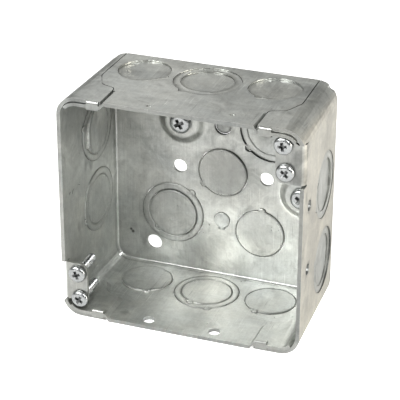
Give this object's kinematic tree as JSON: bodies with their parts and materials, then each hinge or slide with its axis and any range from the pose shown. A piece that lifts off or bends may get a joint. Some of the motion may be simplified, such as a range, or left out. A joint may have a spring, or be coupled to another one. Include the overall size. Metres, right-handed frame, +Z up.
{
  "type": "electrical junction box",
  "caption": "Deep square pressed-steel junction box with an open front, tongued corners, hinged pry-out knockouts, cover screws and ground screws.",
  "frame": {"origin": "on the floor under the middle of the box, halfway between the open front and the back", "axes": "+Z up, -Y out of the open front, +X to the right as seen from the front"},
  "size_m": [0.1032, 0.054, 0.099],
  "materials": {
    "galvanised_sheet": "hot-dip galvanised sheet, mottled satin grey with drawn streaks",
    "galvanised_blank": "galvanised sheet blank, satin grey with bright sheared edges",
    "bright_zinc": "bright zinc plate, slightly blue"
  },
  "bodies": {
    "box": {"box_body": "galvanised_sheet"},
    "back_centre_slug": {"back_centre_slug": "galvanised_blank"},
    "back_lower_left_ring": {"back_lower_left_ring": "galvanised_blank"},
    "back_lower_left_slug": {"back_lower_left_slug": "galvanised_blank"},
    "back_lower_right_slug": {"back_lower_right_slug": "galvanised_blank"},
    "back_upper_right_ring": {"back_upper_right_ring": "galvanised_blank"},
    "back_upper_right_slug": {"back_upper_right_slug": "galvanised_blank"},
    "bottom_left_slug": {"bottom_left_slug": "galvanised_blank"},
    "bottom_middle_ring": {"bottom_middle_ring": "galvanised_blank"},
    "bottom_middle_slug": {"bottom_middle_slug": "galvanised_blank"},
    "bottom_right_slug": {"bottom_right_slug": "galvanised_blank"},
    "cover_screw_1": {"cover_screw_1": "bright_zinc"},
    "cover_screw_2": {"cover_screw_2": "bright_zinc"},
    "cover_screw_3": {"cover_screw_3": "bright_zinc"},
    "cover_screw_4": {"cover_screw_4": "bright_zinc"},
    "ground_screw_1": {"ground_screw_1": "bright_zinc"},
    "ground_screw_2": {"ground_screw_2": "bright_zinc"},
    "left_lower_ring": {"left_lower_ring": "galvanised_blank"},
    "left_lower_slug": {"left_lower_slug": "galvanised_blank"},
    "left_upper_ring": {"left_upper_ring": "galvanised_blank"},
    "left_upper_slug": {"left_upper_slug": "galvanised_blank"},
    "lower_plug": {"lower_plug": "galvanised_blank"},
    "right_lower_ring": {"right_lower_ring": "galvanised_blank"},
    "right_lower_slug": {"right_lower_slug": "galvanised_blank"},
    "right_upper_ring": {"right_upper_ring": "galvanised_blank"},
    "right_upper_slug": {"right_upper_slug": "galvanised_blank"},
    "top_left_slug": {"top_left_slug": "galvanised_blank"},
    "top_middle_ring": {"top_middle_ring": "galvanised_blank"},
    "top_middle_slug": {"top_middle_slug": "galvanised_blank"},
    "top_right_slug": {"top_right_slug": "galvanised_blank"},
    "upper_plug": {"upper_plug": "galvanised_blank"}
  },
  "joints": [
    {"name": "back_centre_slug_tie", "type": "hinge", "parent": "box", "child": "back_centre_slug", "pos_m": [-0.00886, 0.02515, 0.04322], "axis": [0.6018, 0, -0.7986], "range_deg": [0, 40]},
    {"name": "back_lower_left_ring_tie", "type": "hinge", "parent": "box", "child": "back_lower_left_ring", "pos_m": [-0.0123, 0.02515, 0.03943], "axis": [-0.7771, 0, 0.6293], "range_deg": [0, 30]},
    {"name": "back_lower_left_slug_tie", "type": "hinge", "parent": "back_lower_left_ring", "child": "back_lower_left_slug", "pos_m": [-0.02941, 0.02515, 0.0183], "axis": [0.7771, 0, -0.6293], "range_deg": [0, 40]},
    {"name": "back_lower_right_slug_tie", "type": "hinge", "parent": "box", "child": "back_lower_right_slug", "pos_m": [0.01864, 0.02515, 0.03647], "axis": [-0.9976, 0, 0.0698], "range_deg": [0, 40]},
    {"name": "back_upper_right_ring_tie", "type": "hinge", "parent": "box", "child": "back_upper_right_ring", "pos_m": [0.01098, 0.02515, 0.0627], "axis": [0.6691, 0, -0.7431], "range_deg": [0, 30]},
    {"name": "back_upper_right_slug_tie", "type": "hinge", "parent": "back_upper_right_ring", "child": "back_upper_right_slug", "pos_m": [0.03119, 0.02515, 0.0809], "axis": [-0.6691, 0, 0.7431], "range_deg": [0, 40]},
    {"name": "bottom_left_slug_tie", "type": "hinge", "parent": "box", "child": "bottom_left_slug", "pos_m": [-0.02386, -0.00137, 0.00185], "axis": [0.9397, 0.342, 0], "range_deg": [0, 40]},
    {"name": "bottom_middle_ring_tie", "type": "hinge", "parent": "box", "child": "bottom_middle_ring", "pos_m": [0.00516, -0.00619, 0.00185], "axis": [0.9397, 0.342, 0], "range_deg": [0, 30]},
    {"name": "bottom_middle_slug_tie", "type": "hinge", "parent": "bottom_middle_ring", "child": "bottom_middle_slug", "pos_m": [-0.00414, -0.00337, 0.00185], "axis": [0.9397, -0.342, 0], "range_deg": [0, 40]},
    {"name": "bottom_right_slug_tie", "type": "hinge", "parent": "box", "child": "bottom_right_slug", "pos_m": [0.02386, -0.00137, 0.00185], "axis": [0.9397, -0.342, 0], "range_deg": [0, 40]},
    {"name": "cover_screw_1_back_out", "type": "slide", "parent": "box", "child": "cover_screw_1", "axis": [0, -1, 0], "range_m": [0, 0.012]},
    {"name": "cover_screw_2_back_out", "type": "slide", "parent": "box", "child": "cover_screw_2", "axis": [0, -1, 0], "range_m": [0, 0.012]},
    {"name": "cover_screw_3_back_out", "type": "slide", "parent": "box", "child": "cover_screw_3", "axis": [0, -1, 0], "range_m": [0, 0.012]},
    {"name": "cover_screw_4_back_out", "type": "slide", "parent": "box", "child": "cover_screw_4", "axis": [0, -1, 0], "range_m": [0, 0.012]},
    {"name": "ground_screw_1_back_out", "type": "slide", "parent": "box", "child": "ground_screw_1", "axis": [0, -1, 0], "range_m": [0, 0.004]},
    {"name": "ground_screw_2_back_out", "type": "slide", "parent": "box", "child": "ground_screw_2", "axis": [0, -1, 0], "range_m": [0, 0.004]},
    {"name": "left_lower_ring_tie", "type": "hinge", "parent": "box", "child": "left_lower_ring", "pos_m": [-0.04901, -0.00705, 0.03304], "axis": [0.0127, 0.3418, -0.9397], "range_deg": [0, 30]},
    {"name": "left_lower_slug_tie", "type": "hinge", "parent": "left_lower_ring", "child": "left_lower_slug", "pos_m": [-0.04891, -0.00423, 0.04234], "axis": [-0.0127, -0.3418, -0.9397], "range_deg": [0, 40]},
    {"name": "left_upper_ring_tie", "type": "hinge", "parent": "box", "child": "left_upper_ring", "pos_m": [-0.049, -0.00685, 0.07616], "axis": [-0.0127, -0.3418, -0.9397], "range_deg": [0, 30]},
    {"name": "left_upper_slug_tie", "type": "hinge", "parent": "left_upper_ring", "child": "left_upper_slug", "pos_m": [-0.0489, -0.00403, 0.06686], "axis": [0.0127, 0.3418, -0.9397], "range_deg": [0, 40]},
    {"name": "lower_plug_tie", "type": "hinge", "parent": "box", "child": "lower_plug", "pos_m": [0.0006, 0.0249, 0.0237], "axis": [1, 0, 0], "range_deg": [0, 40]},
    {"name": "right_lower_ring_tie", "type": "hinge", "parent": "box", "child": "right_lower_ring", "pos_m": [0.04894, -0.00525, 0.03156], "axis": [-0.0127, 0.3418, 0.9397], "range_deg": [0, 30]},
    {"name": "right_lower_slug_tie", "type": "hinge", "parent": "right_lower_ring", "child": "right_lower_slug", "pos_m": [0.04884, -0.00243, 0.02226], "axis": [0.0127, -0.3418, 0.9397], "range_deg": [0, 40]},
    {"name": "right_upper_ring_tie", "type": "hinge", "parent": "box", "child": "right_upper_ring", "pos_m": [0.04896, -0.00575, 0.05594], "axis": [0.0127, -0.3418, 0.9397], "range_deg": [0, 30]},
    {"name": "right_upper_slug_tie", "type": "hinge", "parent": "right_upper_ring", "child": "right_upper_slug", "pos_m": [0.04886, -0.00293, 0.06524], "axis": [-0.0127, 0.3418, 0.9397], "range_deg": [0, 40]},
    {"name": "top_left_slug_tie", "type": "hinge", "parent": "box", "child": "top_left_slug", "pos_m": [-0.01663, 0.00586, 0.09715], "axis": [-0.342, -0.9397, 0], "range_deg": [0, 40]},
    {"name": "top_middle_ring_tie", "type": "hinge", "parent": "box", "child": "top_middle_ring", "pos_m": [-0.00709, -0.00533, 0.09715], "axis": [-0.8829, 0.4695, 0], "range_deg": [0, 30]},
    {"name": "top_middle_slug_tie", "type": "hinge", "parent": "top_middle_ring", "child": "top_middle_slug", "pos_m": [0.00605, -0.00248, 0.09715], "axis": [-0.866, -0.5, 0], "range_deg": [0, 40]},
    {"name": "top_right_slug_tie", "type": "hinge", "parent": "box", "child": "top_right_slug", "pos_m": [0.02386, -0.00137, 0.09715], "axis": [-0.9397, 0.342, 0], "range_deg": [0, 40]},
    {"name": "upper_plug_tie", "type": "hinge", "parent": "box", "child": "upper_plug", "pos_m": [0.0006, 0.026, 0.0759], "axis": [-1, 0, 0], "range_deg": [0, 40]}
  ]
}
